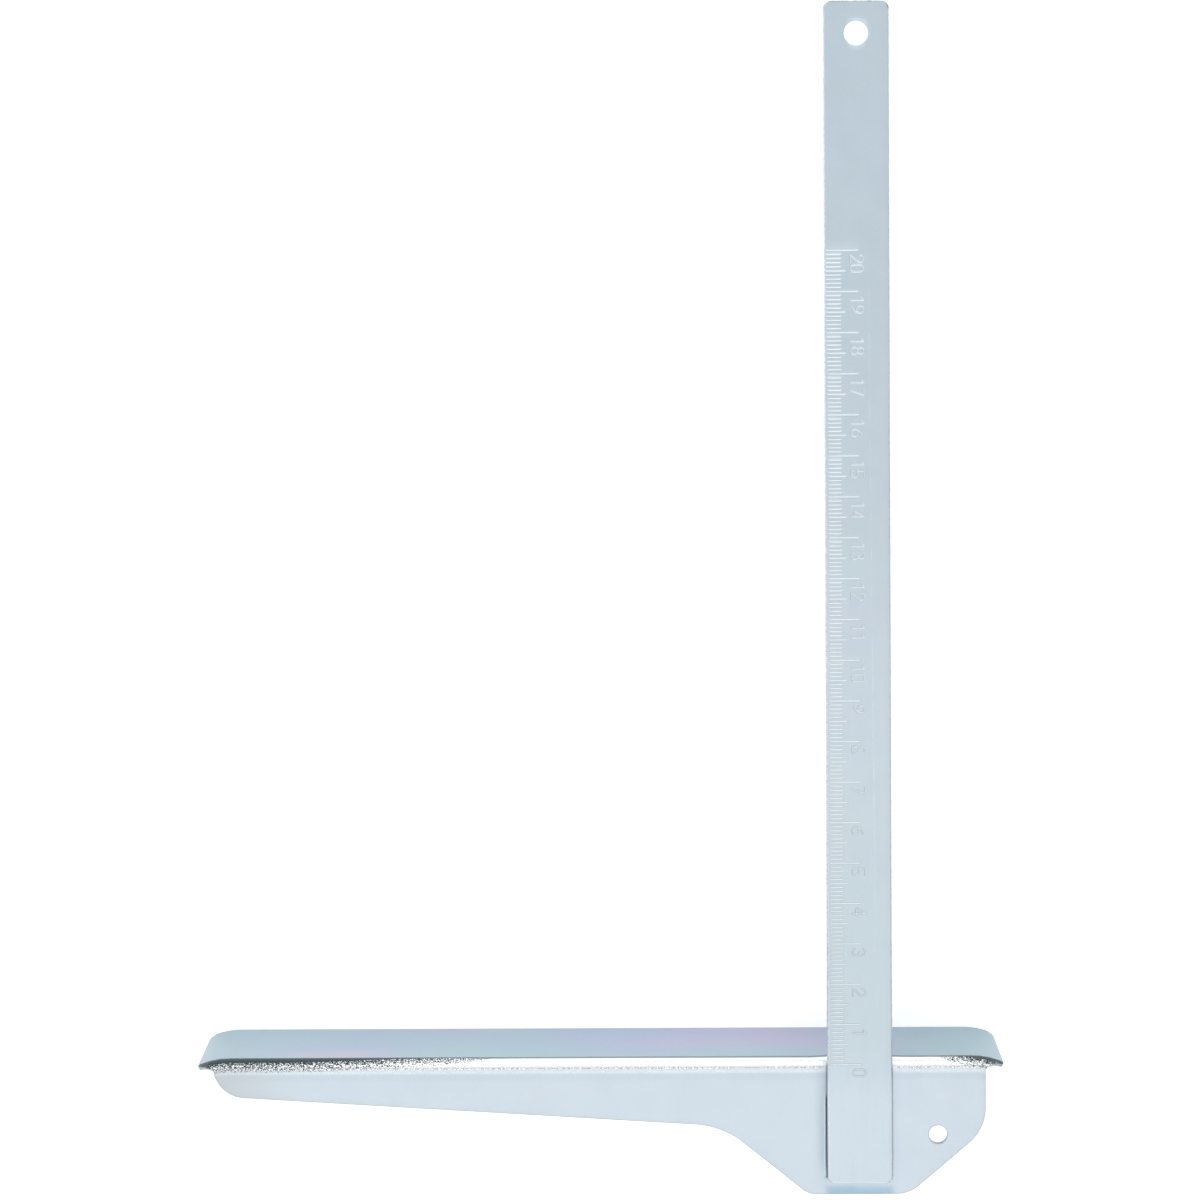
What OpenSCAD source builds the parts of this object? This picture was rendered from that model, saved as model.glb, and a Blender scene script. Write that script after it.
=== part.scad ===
// Guide rule for a hand-held saw: a graduated steel blade welded square into a folded sheet-steel fence.
// Millimetres. +X runs along the fence, +Y along the blade to its free end, +Z out of the graduated face.
// Origin: the fence face (Y = 0), the centre line of the blade (X = 0), the underside of the blade (Z = 0).

/* [Blade] */
// Width of the graduated blade
blade_w = 16; // [10:0.5:30]
// Thickness of the blade
blade_t = 2; // [1:0.1:4]
// Reach of the blade in front of the fence face
blade_reach = 259.1; // [215:0.1:400]
// Length of the blade behind the fence face
blade_tail = 30.7; // [20:0.1:32]
// Corner radius at the free end
free_corner_r = 2; // [0.5:0.1:5]
// Corner radius at the welded end
tail_corner_r = 1.4; // [0.5:0.1:5]
// Rounding of the two long rolled edges
rolled_edge_r = 0.5; // [0.1:0.05:0.9]
// Diameter of the hanging hole
hang_hole_d = 6; // [3:0.1:10]
// Centre of the hanging hole from the free end
hang_hole_inset = 7.8; // [5:0.1:20]

/* [Graduation] */
// Centimetres on the scale
scale_cm = 20; // [5:1:20]
// Zero mark behind the fence face
zero_back = 1.1; // [0:0.1:5]
// Width of a stamped mark
mark_w = 0.35; // [0.2:0.05:0.6]
// Depth of a stamped mark
mark_depth = 0.15; // [0.05:0.01:0.4]
// Start of the marks from the long edge
mark_inset = 0.8; // [0.2:0.1:3]
// Length of a millimetre mark
mark_mm = 3.2; // [1:0.1:6]
// Length of a five millimetre mark
mark_five = 4.3; // [1:0.1:8]
// Length of a centimetre mark
mark_cm = 7.4; // [1:0.1:12]
// Height of the numerals
numeral_h = 3.5; // [2:0.1:6]
// Width of a numeral
numeral_w = 2; // [1:0.1:4]
// Stroke width of the numerals
numeral_stroke = 0.35; // [0.2:0.05:0.6]
// Step from one digit to the next
numeral_pitch = 2.35; // [1.5:0.05:5]
// Gap from a centimetre mark to its numeral
numeral_gap = 1.1; // [0.4:0.1:3]
// Foot of the numerals from the blade centre line
numeral_foot = -1.8; // [-4:0.1:3]

/* [Fence] */
// Thickness of the sheet
sheet_t = 1.2; // [0.8:0.1:2]
// Left tip of the fence from the blade centre line
left_tip = 163.1; // [100:0.1:250]
// Right tip of the fence from the blade centre line
right_tip = 35.6; // [30:0.1:80]
// Depth of the folded flange
flange_h = 25.5; // [12:0.1:50]
// Outside radius of the fold
fold_r = 2.5; // [1.8:0.1:5]
// Outside radius of the lead-in curves
lead_r = 18; // [8:0.5:40]
// Turn of the lead-in curves
lead_turn = 25; // [5:1:60]
// Radius of the free corners of the flange
flange_corner_r = 2.6; // [1:0.1:10]

/* [Plate] */
// Right edge of the plate
plate_right = 30.9; // [20:0.1:60]
// Back edge of the plate behind the fence face
plate_back = 33.75; // [32:0.05:60]
// Left end of the long arm
arm_end = 156.4; // [100:0.1:240]
// Depth of the long arm at its end
arm_end_depth = 8.9; // [6:0.05:20]
// Depth of the long arm where it meets the left diagonal
arm_root_depth = 16.6; // [8:0.1:30]
// Distance of that meeting point from the blade centre line
arm_root_x = 33.8; // [20:0.1:60]
// Small hole in the plate, diameter
pin_hole_d = 4.5; // [2:0.1:8]
// Small hole in the plate, distance right of the blade centre line
pin_hole_x = 19.2; // [14:0.1:28]
// Small hole in the plate, distance behind the fence face
pin_hole_back = 18.9; // [8:0.1:28]

/* [Channel] */
// Depth of the pressed channel under the blade
channel_depth = 1.35; // [0.4:0.05:1.8]
// Play between the blade and the channel floor edge
channel_gap = 0.25; // [0.1:0.05:1]
// Width of the sloping shoulder on each side
shoulder_w = 2.4; // [1:0.1:5]
// Length of the ramp that closes the channel
ramp_l = 2.2; // [1:0.1:4]

/* [Welds] */
// Diameter of a weld nugget
nugget_d = 4; // [2:0.1:6]
// Spacing of the nuggets across the blade
nugget_across = 8; // [5:0.1:10]
// Front pair of nuggets behind the fence face
nugget_front = 9; // [6:0.1:14]
// Back pair of nuggets behind the fence face
nugget_rear = 24; // [16:0.1:27]
// Diameter of the electrode mark on the back
dimple_d = 3.2; // [1:0.1:5]
// Depth of the electrode mark on the back
dimple_depth = 0.3; // [0.1:0.05:0.6]

/* [Hidden] */
$fn = 64;
eps = 0.01;
steel = [0.78, 0.82, 0.86];
zinc = [0.70, 0.77, 0.83];
weld = [0.55, 0.56, 0.58];

weld_gap = 0.15;                              // nuggets stand this far proud of the channel floor
floor_z = -weld_gap;                          // top of the channel floor
plate_z = floor_z + channel_depth;            // top of the plate
under_z = plate_z - sheet_t;                  // underside of the plate
fold_z = plate_z - fold_r;                    // height of the fold axis
flange_low = plate_z - flange_h;              // lower edge of the flange
channel_half = blade_w / 2 + channel_gap;     // half width of the channel floor
shoulder_half = channel_half + shoulder_w;    // half width over the shoulders
slope = channel_depth / shoulder_w;
slope_a = atan(slope);
lead_l = lead_r * sin(lead_turn);             // length of a lead-in
run_left = -left_tip + lead_l;                // straight run of the fold, left end
run_right = right_tip - lead_l;               // straight run of the fold, right end
lead_drop = lead_r * (1 - cos(lead_turn));
relief_y = -lead_drop - sheet_t;              // the free tips keep only the flange and the fold

// Plate outline: corner points with their radii, clockwise from the top right.
plate_corners = [
    [plate_right, 5, 0],
    [plate_right, -17.6, 11.5],
    [12.1, -plate_back, 8.5],
    [-12.7, -plate_back, 5.5],
    [-arm_root_x, -arm_root_depth, 21],
    [-arm_end, -arm_end_depth, 8],
    [-arm_end - 2.4, -3.2, 0],
    [-arm_end - 2.4, 5, 0],
];

function unit(v) = v / norm(v);
function turn(a, b) = acos(max(-1, min(1, a * b)));
function side(a, b) = sign(a[0] * b[1] - a[1] * b[0]);

// Points of the arc that rounds corner p between its neighbours a and b.
function rounded(a, p, b, n = 10) =
    p[2] <= 0 ? [[p[0], p[1]]] :
    let (
        q = [p[0], p[1]],
        u = unit(q - [a[0], a[1]]),
        v = unit([b[0], b[1]] - q),
        t = turn(u, v),
        s = side(u, v),
        start = q - u * p[2] * tan(t / 2),
        centre = start + s * p[2] * [-u[1], u[0]],
        first = atan2(start[1] - centre[1], start[0] - centre[0])
    )
    [for (i = [0:n]) centre + p[2] * [cos(first + s * t * i / n), sin(first + s * t * i / n)]];

function outline(c) = [
    for (i = [0:len(c) - 1])
        for (p = rounded(c[(i + len(c) - 1) % len(c)], c[i], c[(i + 1) % len(c)])) p
];

// ---------------------------------------------------------------- blade

module blade_plan() {
    y0 = -blade_tail;
    y1 = blade_reach;
    h = blade_w / 2;
    r1 = free_corner_r;
    r0 = tail_corner_r;
    translate([-h, y0 + r0]) square([blade_w, y1 - y0 - r0 - r1]);
    translate([-h + r1, y1 - r1 - eps]) square([blade_w - 2 * r1, r1 + eps]);
    translate([-h + r0, y0]) square([blade_w - 2 * r0, r0 + eps]);
    for (s = [-1, 1]) {
        translate([s * (h - r1), y1 - r1]) circle(r = r1);
        translate([s * (h - r0), y0 + r0]) circle(r = r0);
    }
}

// Rolled section of the bar, drawn across the blade and pulled along it.
module rolled_bar() {
    r = rolled_edge_r;
    translate([0, blade_reach + 1, 0]) rotate([90, 0, 0])
        linear_extrude(blade_reach + blade_tail + 2) {
            translate([-blade_w / 2, r]) square([blade_w, blade_t - 2 * r]);
            translate([-blade_w / 2 + r, 0]) square([blade_w - 2 * r, blade_t]);
            for (s = [-1, 1], z = [r, blade_t - r])
                translate([s * (blade_w / 2 - r), z]) circle(r = r);
        }
}

// Strokes of the numerals. Each digit stands in a box numeral_w wide and numeral_h high.
half = numeral_stroke / 2;
top = numeral_h - half;
mid_x = numeral_w / 2;
far_x = numeral_w - half;
bow_r = mid_x - half;
low_r = (top - half) * 0.265;
high_r = (top - half) / 2 - low_r;
low_y = half + low_r;
high_y = top - high_r;

module stroke(a, b) {
    d = b - a;
    translate(a) rotate(atan2(d[1], d[0])) translate([-half, -half])
        square([norm(d) + numeral_stroke, numeral_stroke]);
}

module bow(c, r, from, to) {
    reach = r * 3;
    translate(c) intersection() {
        difference() {
            circle(r = r + half, $fn = 40);
            circle(r = r - half, $fn = 40);
        }
        polygon(concat([[0, 0]], [for (i = [0:6])
            let (a = from + (to - from) * i / 6) reach * [cos(a), sin(a)]]));
    }
}

module ring(c, r) {
    translate(c) difference() {
        circle(r = r + half, $fn = 40);
        circle(r = r - half, $fn = 40);
    }
}

module six() {
    ring([mid_x, low_y], low_r);
    bow([mid_x - low_r + 1.9, low_y], 1.9, 102, 180);
}

module digit(n) {
    if (n == 0) {
        bow([mid_x, top - bow_r], bow_r, 0, 180);
        bow([mid_x, half + bow_r], bow_r, 180, 360);
        for (x = [half, far_x]) stroke([x, half + bow_r], [x, top - bow_r]);
    }
    if (n == 1) {
        stroke([mid_x + 0.1, half], [mid_x + 0.1, top]);
        stroke([mid_x - 0.5, top - 0.6], [mid_x + 0.1, top]);
    }
    if (n == 2) {
        bow([mid_x, top - bow_r], bow_r, -35, 180);
        stroke([half, half], [mid_x + bow_r * cos(35), top - bow_r * (1 + sin(35))]);
        stroke([half, half], [far_x, half]);
    }
    if (n == 3) {
        bow([mid_x, high_y], high_r, -90, 160);
        bow([mid_x, low_y], low_r, -160, 90);
    }
    if (n == 4) {
        stroke([mid_x + 0.45, half], [mid_x + 0.45, top]);
        stroke([half, half + 0.9], [mid_x + 0.45, top]);
        stroke([half, half + 0.9], [far_x, half + 0.9]);
    }
    if (n == 5) {
        stroke([half + 0.25, top], [far_x - 0.1, top]);
        stroke([half + 0.1, low_y + low_r * 0.85], [half + 0.25, top]);
        bow([mid_x, low_y], low_r, -155, 130);
    }
    if (n == 6) six();
    if (n == 7) {
        stroke([half, top], [far_x, top]);
        stroke([mid_x - 0.3, half], [far_x, top]);
    }
    if (n == 8) {
        ring([mid_x, high_y], high_r);
        ring([mid_x, low_y], low_r);
    }
    if (n == 9) translate([numeral_w, numeral_h]) rotate(180) six();
}

// A number reads down the blade: its first digit nearest its centimetre mark.
module number(n) {
    if (n > 9) {
        digit(floor(n / 10));
        translate([numeral_pitch, 0]) digit(n % 10);
    } else {
        digit(n);
    }
}

module marks() {
    for (i = [0:scale_cm * 10]) {
        long = i % 10 == 0 ? mark_cm : i % 5 == 0 ? mark_five : mark_mm;
        translate([-blade_w / 2 + mark_inset, i - zero_back - mark_w / 2]) square([long, mark_w]);
    }
}

module numerals() {
    for (n = [0:scale_cm])
        translate([numeral_foot, n * 10 - zero_back - numeral_gap]) rotate(-90) number(n);
}

module graduated_blade() {
    color(steel) difference() {
        intersection() {
            rolled_bar();
            translate([0, 0, -1]) linear_extrude(blade_t + 2) blade_plan();
        }
        translate([0, blade_reach - hang_hole_inset, -1]) cylinder(d = hang_hole_d, h = blade_t + 2);
        translate([0, 0, blade_t - mark_depth]) linear_extrude(1) marks();
        translate([0, 0, blade_t - mark_depth]) linear_extrude(1) numerals();
    }
}

// ---------------------------------------------------------------- fence

// Section of the fold with its flange: first axis behind the fence face, second axis height.
module fold_section(lowered = 0) {
    translate([-sheet_t, flange_low]) square([sheet_t, fold_z - flange_low]);
    translate([-fold_r, fold_z - lowered]) intersection() {
        difference() {
            circle(r = fold_r);
            circle(r = fold_r - sheet_t);
        }
        square([fold_r, fold_r]);
    }
}

// Straight length of the folded section between two positions along the fence.
module fold_run(x0, x1, lowered = 0) {
    translate([x0, 0, 0]) rotate([90, 0, 90]) linear_extrude(x1 - x0) fold_section(lowered);
}

// Lead-in: the same section turned back at the end of the fence.
module lead_in(x, way) {
    translate([x, -lead_r, 0]) rotate([0, 0, way > 0 ? 90 - lead_turn : 90])
        rotate_extrude(angle = lead_turn, $fn = 96) translate([lead_r, 0]) fold_section();
}

// Fold on the sloping shoulder: the section sheared down along the slope.
module fold_shoulder() {
    n = 14;
    k = cos(slope_a);
    intersection() {
        translate([-shoulder_half, 0, 0]) rotate([0, slope_a, 0]) translate([-3, 0, 0])
            rotate([90, 0, 90]) linear_extrude(9) polygon(concat(
                [for (i = [0:n]) let (a = 90 * i / n)
                    [-fold_r + fold_r * sin(a), k * (fold_z + fold_r * cos(a))]],
                [for (i = [n:-1:0]) let (a = 90 * i / n, r = fold_r - sheet_t)
                    [-fold_r + r * sin(a), k * (fold_z + r * cos(a))]]));
        translate([-shoulder_half, -fold_r, -10]) cube([shoulder_w, fold_r, 20]);
    }
}

// Pressed pocket of the channel: shift moves it down, crown is its flat top above the slope.
module pocket(shift, crown) {
    intersection() {
        translate([0, 0, shift]) rotate([90, 0, 0]) translate([0, 0, fold_r]) linear_extrude(plate_back)
            polygon([
                [-shoulder_half, plate_z + crown], [-shoulder_half, plate_z], [-channel_half, floor_z],
                [channel_half, floor_z], [shoulder_half, plate_z], [shoulder_half, plate_z + crown]]);
        translate([-20, 0, shift]) rotate([90, 0, 90]) linear_extrude(40)
            polygon([
                [-fold_r, plate_z + crown], [-fold_r, floor_z], [-blade_tail - channel_gap, floor_z],
                [-blade_tail - channel_gap - ramp_l, plate_z],
                [-blade_tail - channel_gap - ramp_l, plate_z + crown]]);
    }
}

module plate_sheet() {
    translate([0, 0, under_z]) linear_extrude(sheet_t) intersection() {
        polygon(outline(plate_corners));
        union() {
            translate([run_left, -80]) square([run_right - run_left, 80 - fold_r]);
            for (x = [run_left, run_right]) translate([x, -lead_r]) circle(r = lead_r - fold_r, $fn = 96);
        }
    }
}

// Relief beside the plate: its inner corner is the fillet between plate and flange.
module relief(x, way) {
    r = 1.5;
    translate([x, relief_y, -10]) mirror([way < 0 ? 1 : 0, 0, 0]) linear_extrude(20) {
        translate([r, -20]) square([20, 20]);
        translate([0, -20]) square([20, 20 - r]);
        translate([r, -r]) circle(r = r);
    }
}

// Cutter that rounds a free lower corner of the flange, placed at a tip.
module free_corner(x, way) {
    r = flange_corner_r;
    translate([x, 2, flange_low]) mirror([way > 0 ? 1 : 0, 0, 0]) rotate([90, 0, 0]) linear_extrude(14)
        difference() {
            translate([-2, -2]) square([r + 2, r + 2]);
            translate([r, r]) circle(r = r);
        }
}

module nugget_places() {
    for (x = [-1, 1], y = [nugget_front, nugget_rear]) translate([x * nugget_across / 2, -y, 0]) children();
}

module fence_plate() {
    color(zinc) difference() {
        union() {
            difference() {
                union() {
                    plate_sheet();
                    pocket(-sheet_t, 0.6);
                }
                pocket(0, 1);
            }
            fold_run(run_left, -shoulder_half);
            fold_run(shoulder_half, run_right);
            lead_in(run_left, -1);
            lead_in(run_right, 1);
            fold_run(-channel_half, channel_half, channel_depth);
            for (s = [0, 1]) mirror([s, 0, 0]) {
                fold_shoulder();
                translate([-shoulder_half, -sheet_t, flange_low])
                    cube([shoulder_w, sheet_t, fold_z - channel_depth - flange_low]);
                translate([-shoulder_half, -sheet_t, fold_z - channel_depth])
                    rotate([90, 0, 0]) mirror([0, 0, 1]) linear_extrude(sheet_t)
                        polygon([[0, -eps], [shoulder_w, -eps], [shoulder_w, 0], [0, channel_depth]]);
            }
        }
        relief(plate_right, 1);
        relief(-arm_end - 2.4, -1);
        free_corner(right_tip, 1);
        free_corner(-left_tip, -1);
        translate([pin_hole_x, -pin_hole_back, under_z - 1]) cylinder(d = pin_hole_d, h = sheet_t + 2);
        nugget_places() translate([0, 0, floor_z - sheet_t - 1]) cylinder(d = dimple_d, h = 1 + dimple_depth);
    }
}

// ---------------------------------------------------------------- welds

module weld_nuggets() {
    color(weld) nugget_places() translate([0, 0, floor_z]) cylinder(d = nugget_d, h = weld_gap);
}

graduated_blade();
fence_plate();
weld_nuggets();
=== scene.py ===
"""Saw guide rule: a graduated zinc-plated blade welded square into a folded sheet-steel fence.

Lengths are worked out in millimetres and turned into metres when a mesh is made.
The frame is the part's own: +X along the fence, +Y along the blade, +Z out of the graduated face.
"""

import math

import bmesh
import bpy
import numpy as np
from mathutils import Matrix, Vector
from mathutils.geometry import delaunay_2d_cdt


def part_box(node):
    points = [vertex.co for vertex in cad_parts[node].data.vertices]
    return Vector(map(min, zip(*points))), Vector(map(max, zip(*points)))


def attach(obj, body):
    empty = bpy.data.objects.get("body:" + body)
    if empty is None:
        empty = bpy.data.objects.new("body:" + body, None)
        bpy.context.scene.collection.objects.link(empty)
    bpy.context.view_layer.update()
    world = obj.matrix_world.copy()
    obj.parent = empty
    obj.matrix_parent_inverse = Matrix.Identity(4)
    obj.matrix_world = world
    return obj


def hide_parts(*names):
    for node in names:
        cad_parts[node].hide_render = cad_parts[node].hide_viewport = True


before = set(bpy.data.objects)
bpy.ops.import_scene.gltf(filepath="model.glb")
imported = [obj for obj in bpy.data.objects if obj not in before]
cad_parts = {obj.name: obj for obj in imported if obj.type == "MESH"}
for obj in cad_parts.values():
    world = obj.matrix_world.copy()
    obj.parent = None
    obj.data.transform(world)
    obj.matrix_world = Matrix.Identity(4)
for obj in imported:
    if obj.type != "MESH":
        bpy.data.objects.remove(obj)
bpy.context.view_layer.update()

MM = 0.001


def corners(node):
    """Lowest and highest corner of a piece, in millimetres."""
    return [np.array(c, float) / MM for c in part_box(node)]


BLADE_LOW, BLADE_HIGH = corners("graduated_blade")
FENCE_LOW, FENCE_HIGH = corners("fence_plate")
NUGGET_LOW, NUGGET_HIGH = corners("weld_nuggets")

# Blade
BLADE_HALF = (BLADE_HIGH[0] - BLADE_LOW[0]) / 2
BLADE_T = BLADE_HIGH[2] - BLADE_LOW[2]
FREE_END, TAIL_END = BLADE_HIGH[1], BLADE_LOW[1]
FREE_CORNER_R, TAIL_CORNER_R = 2.0, 1.4
BLADE_ENDS = [(FREE_END, FREE_CORNER_R, -1), (TAIL_END, TAIL_CORNER_R, 1)]  # and the way inwards
CORNER_ZONE = 3.0
ROLLOVER, ROLLOVER_LENGTH = 0.13, 0.12
ROLLED_EDGE_R = 0.5
HANG_HOLE_R, HANG_HOLE_INSET, HANG_HOLE_LIP = 3.0, 7.8, 0.22

# Graduation
ZERO_BACK = 1.1
SCALE_MM = 200
MARK_START = -BLADE_HALF + 0.8
MARK_LENGTHS = {1: 3.2, 5: 4.3, 10: 7.4}
MARK_HALF, MARK_DEPTH, MARK_LIP = 0.19, 0.14, 0.015
NUMERAL_W, NUMERAL_H, NUMERAL_STROKE = 2.0, 3.5, 0.35
NUMERAL_PITCH, NUMERAL_GAP, NUMERAL_FOOT = 2.35, 1.1, -1.8
NUMERAL_DEPTH, NUMERAL_LIP = 0.12, 0.018
# Share of the painted glint that the numerals get, against the marks.
NUMERAL_PAINTED_GLINT = 0.45
DRIFT = 0.35  # how far the starts of the last marks run out towards the edge

# Fence
SHEET_T = 1.2
FOLD_R = 2.5
LEAD_R, LEAD_TURN = 18.0, math.radians(25)
FLANGE_CORNER_R = 2.6
TIP_RISE, TIP_CORNER_R, RELIEF_R = 0.75, 0.45, 1.3
PLATE_Z = FENCE_HIGH[2]
FLANGE_LOW = FENCE_LOW[2]
FOLD_Z = PLATE_Z - FOLD_R
RUN_LEFT = FENCE_LOW[0] + LEAD_R * math.sin(LEAD_TURN)
RUN_RIGHT = FENCE_HIGH[0] - LEAD_R * math.sin(LEAD_TURN)
PLATE_BACK = FENCE_LOW[1]
PLATE_RIGHT, ARM_END = 30.9, 156.4
PLATE_CORNERS = [  # x, y and radius, from the right end of the fold round to the left
    (PLATE_RIGHT, -4.2, 0),
    (PLATE_RIGHT, -17.6, 11.5),
    (12.1, PLATE_BACK, 8.5),
    (-12.7, PLATE_BACK, 5.5),
    (-33.8, -16.6, 21),
    (-ARM_END, -8.9, 8),
    (-ARM_END - 2.4, -3.6, 0),
]
PIN_HOLE = (19.2, -18.9)
PIN_HOLE_R = 2.25

# Channel under the blade
FLOOR_Z = NUGGET_LOW[2]
CHANNEL_DEPTH = PLATE_Z - FLOOR_Z
CHANNEL_HALF = BLADE_HALF + 0.25
SHOULDER_HALF = CHANNEL_HALF + 3.4
CHANNEL_END = TAIL_END - 0.25
SHOULDER_FOOT, SHOULDER_CURVE = 0.7, 1.7
RAMP = 2.9
GAP_LEFT, GAP_RIGHT = 0.04, 0.03
GAP_OPENS = CHANNEL_HALF - BLADE_HALF - 0.08
GAP_TOP, GAP_BOTTOM = (-8.8, -9.8), (-29.8, -28.6)  # where the left gap opens and closes
FLARE, FLARE_Y = 0.8, (-9.0, -3.0)
FOOT_LEFT, FOOT_RIGHT = 0.85, 0.5
FOOT_FADE, FOOT_FADE_Y = 0.6, (-24.0, -30.5)
LIP_X, LIP_W, LIP_H = -CHANNEL_HALF - 0.28, 0.13, 0.07
LIP_TOP, LIP_BOTTOM = (-8.6, -10.2), (-29.5, -26.5)
NUGGET_R = 2.0
NUGGETS = [
    (x, y)
    for x in (NUGGET_LOW[0] + NUGGET_R, NUGGET_HIGH[0] - NUGGET_R)
    for y in (NUGGET_LOW[1] + NUGGET_R, NUGGET_HIGH[1] - NUGGET_R)
]
DIMPLE_R, DIMPLE_DEPTH = 1.6, 0.3

FLANGE_RUN = FOLD_Z - FLANGE_LOW
PLATE_START = FLANGE_RUN + FOLD_R * math.pi / 2


def ease(a, b, v):
    """Smooth step from 0 at a to 1 at b."""
    t = np.clip((np.asarray(v, float) - a) / (b - a), 0, 1)
    return t * t * (3 - 2 * t)


# ------------------------------------------------------------------ meshes


def linked(name, data):
    """A new object in the scene."""
    made = bpy.data.objects.new(name, data)
    bpy.context.scene.collection.objects.link(made)
    return made


def mesh_piece(name, points, faces):
    """A new smooth-shaded piece from points in millimetres."""
    mesh = bpy.data.meshes.new(name)
    mesh.from_pydata((np.asarray(points) * MM).tolist(), [], faces)
    mesh.validate()
    mesh.update()
    mesh.shade_smooth()
    return linked(name, mesh)


def set_mask(piece, name, values):
    """A value from 0 to 1 kept at every point of a mesh, for its material to read."""
    layer = piece.data.attributes.new(name, "FLOAT", "POINT")
    layer.data.foreach_set("value", np.asarray(values, np.float32))


def around(n):
    """Cosine and sine of n directions round a circle."""
    return [(math.cos(2 * math.pi * i / n), math.sin(2 * math.pi * i / n)) for i in range(n)]


def turned_cutter(name, centre, radius, low, high, lip):
    """Cutter for a round hole, turned on its axis, with a rounded lip at both faces."""
    steps = 5
    profile = [(radius + lip, high + 1)]
    for i in range(steps + 1):
        a = math.radians(90 - 90 * i / steps)
        profile.append((radius + lip - lip * math.cos(a), high - lip + lip * math.sin(a)))
    for i in range(steps + 1):
        a = math.radians(90 * i / steps)
        profile.append((radius + lip - lip * math.cos(a), low + lip - lip * math.sin(a)))
    profile.append((radius + lip, low - 1))
    n = 72
    points = [(centre[0] + r * c, centre[1] + r * s, z) for r, z in profile for c, s in around(n)]
    faces = [
        (k * n + i, (k + 1) * n + i, (k + 1) * n + (i + 1) % n, k * n + (i + 1) % n)
        for k in range(len(profile) - 1)
        for i in range(n)
    ]
    faces.append(tuple(range(n)))
    faces.append(tuple(reversed(range((len(profile) - 1) * n, len(profile) * n))))
    return mesh_piece(name, points, faces)


def cut(piece, cutter):
    """Cuts one piece with another and throws the cutter away."""
    modifier = piece.modifiers.new("hole", "BOOLEAN")
    modifier.operation, modifier.solver, modifier.object = "DIFFERENCE", "EXACT", cutter
    bpy.context.view_layer.update()
    graph = bpy.context.evaluated_depsgraph_get()
    made = bpy.data.meshes.new_from_object(piece.evaluated_get(graph))
    piece.modifiers.clear()
    piece.data = made
    bpy.data.objects.remove(cutter)


# ------------------------------------------------------------------ blade


def numeral_strokes(digit):
    """Strokes of a digit in its box: ("line", from, to) and ("bow", centre, radius, from, to)."""
    half = NUMERAL_STROKE / 2
    top = NUMERAL_H - half
    mid, far = NUMERAL_W / 2, NUMERAL_W - half
    bow = mid - half
    low_r = (top - half) * 0.265
    high_r = (top - half) / 2 - low_r
    low_y, high_y = half + low_r, top - high_r
    six = [("bow", (mid, low_y), low_r, 0, 360), ("bow", (mid - low_r + 1.9, low_y), 1.9, 102, 180)]
    if digit == 9:
        return [
            ("bow", (NUMERAL_W - c[0], NUMERAL_H - c[1]), r, a + 180, b + 180)
            for _, c, r, a, b in six
        ]
    lean = math.cos(math.radians(35)), math.sin(math.radians(35))
    return {
        0: [
            ("bow", (mid, top - bow), bow, 0, 180),
            ("bow", (mid, half + bow), bow, 180, 360),
            ("line", (half, half + bow), (half, top - bow)),
            ("line", (far, half + bow), (far, top - bow)),
        ],
        1: [
            ("line", (mid + 0.1, half), (mid + 0.1, top)),
            ("line", (mid - 0.5, top - 0.6), (mid + 0.1, top)),
        ],
        2: [
            ("bow", (mid, top - bow), bow, -35, 180),
            ("line", (half, half), (mid + bow * lean[0], top - bow * (1 + lean[1]))),
            ("line", (half, half), (far, half)),
        ],
        3: [("bow", (mid, high_y), high_r, -90, 160), ("bow", (mid, low_y), low_r, -160, 90)],
        4: [
            ("line", (mid + 0.45, half), (mid + 0.45, top)),
            ("line", (half, half + 0.9), (mid + 0.45, top)),
            ("line", (half, half + 0.9), (far, half + 0.9)),
        ],
        5: [
            ("line", (half + 0.25, top), (far - 0.1, top)),
            ("line", (half + 0.1, low_y + low_r * 0.85), (half + 0.25, top)),
            ("bow", (mid, low_y), low_r, -155, 130),
        ],
        6: six,
        7: [("line", (half, top), (far, top)), ("line", (mid - 0.3, half), (far, top))],
        8: [("bow", (mid, high_y), high_r, 0, 360), ("bow", (mid, low_y), low_r, 0, 360)],
    }[digit]


def stroke_distance(u, v, stroke):
    """Distance of points from one stroke's centre line."""
    if stroke[0] == "line":
        a, b = np.array(stroke[1]), np.array(stroke[2])
        d = b - a
        t = np.clip(((u - a[0]) * d[0] + (v - a[1]) * d[1]) / (d @ d), 0, 1)
        return np.hypot(u - a[0] - t * d[0], v - a[1] - t * d[1])
    _, (cx, cy), r, first, last = stroke
    angle = np.degrees(np.arctan2(v - cy, u - cx))
    inside = (angle - first) % 360 <= last - first
    from_ends = [
        np.hypot(u - cx - r * math.cos(math.radians(a)), v - cy - r * math.sin(math.radians(a)))
        for a in (first, last)
    ]
    return np.where(inside, np.abs(np.hypot(u - cx, v - cy) - r), np.minimum(*from_ends))


def mark_length(i):
    """Length of the mark at a millimetre of the scale."""
    return MARK_LENGTHS[10 if i % 10 == 0 else 5 if i % 5 == 0 else 1]


def number_start(cm):
    """Where a number's first digit begins along the blade."""
    return cm * 10 - ZERO_BACK - NUMERAL_GAP


def number_span(cm):
    """Length of a number along the blade."""
    return (NUMERAL_PITCH if cm > 9 else 0) + NUMERAL_W


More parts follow.
